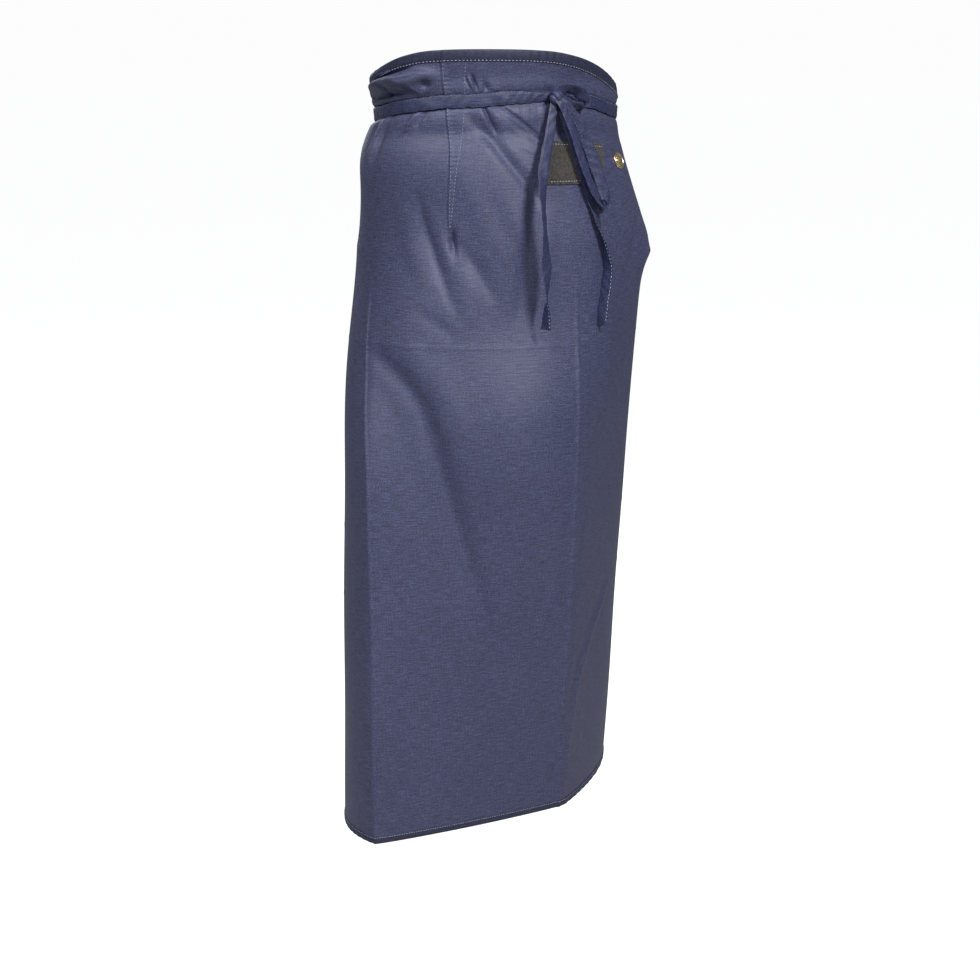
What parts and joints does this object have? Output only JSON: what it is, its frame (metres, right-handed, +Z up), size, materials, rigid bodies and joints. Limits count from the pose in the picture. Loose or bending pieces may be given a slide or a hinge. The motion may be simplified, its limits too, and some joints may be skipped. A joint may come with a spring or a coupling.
{
  "type": "welding apron",
  "caption": "Wrap-round waist apron of heavy flame-resistant cotton, with a bound edge, darts, a small patch, a brass snap and long tape ties in a front bow.",
  "frame": {"origin": "centre of the wearer's waist, at the height where the ties go round", "axes": "+Z up, -Y towards the wearer's front, +X towards the wearer's left"},
  "size_m": [0.4522, 0.312, 0.9155],
  "materials": {
    "panel_cloth": "matt heavy cotton sateen, navy with a grey cast",
    "binding_tape": "matt navy bias tape, darker and bluer than the panel",
    "sewing_thread": "lighter blue polyester thread",
    "patch_cloth": "dull charcoal felted cloth with no mark",
    "patch_thread": "grey thread",
    "snap_brass": "pale polished brass, no mark",
    "tie_tape": "navy folded tape, slightly shiny",
    "tie_thread": "blue thread along the tape's edge"
  },
  "bodies": {
    "apron": {"apron_panel": "panel_cloth", "top_binding": "binding_tape", "hem_binding": "binding_tape", "side_binding_right": "binding_tape", "side_binding_left": "binding_tape", "top_stitching": "sewing_thread", "hem_stitching": "sewing_thread", "side_stitching_right": "sewing_thread", "side_stitching_left": "sewing_thread", "dart_stitching_right": "sewing_thread", "dart_stitching_left": "sewing_thread", "label_patch": "patch_cloth", "patch_stitching": "patch_thread", "snap_cap": "snap_brass", "snap_socket": "snap_brass", "tie_right": "tie_tape", "tie_left": "tie_tape", "tie_stitching_right": "tie_thread", "tie_stitching_left": "tie_thread", "tie_tack_right": "tie_thread", "tie_tack_left": "tie_thread", "bow_knot": "tie_tape", "bow_upper_loop": "tie_tape"},
    "hanging_loop": {"bow_hanging_loop": "tie_tape"},
    "right_tail": {"tail_right": "tie_tape", "tail_stitching_right": "tie_thread"},
    "left_tail": {"tail_left": "tie_tape", "tail_stitching_left": "tie_thread"}
  },
  "joints": [
    {"name": "loop_lift", "type": "hinge", "parent": "apron", "child": "hanging_loop", "pos_m": [-0.008, -0.1318, 0], "axis": [-1, 0, 0], "range_deg": [0, 100]},
    {"name": "right_tail_swing", "type": "hinge", "parent": "apron", "child": "right_tail", "pos_m": [-0.008, -0.1318, 0], "axis": [0, 1, 0], "range_deg": [-30, 25]},
    {"name": "left_tail_swing", "type": "hinge", "parent": "apron", "child": "left_tail", "pos_m": [-0.008, -0.1318, 0], "axis": [0, 1, 0], "range_deg": [-20, 30]}
  ]
}
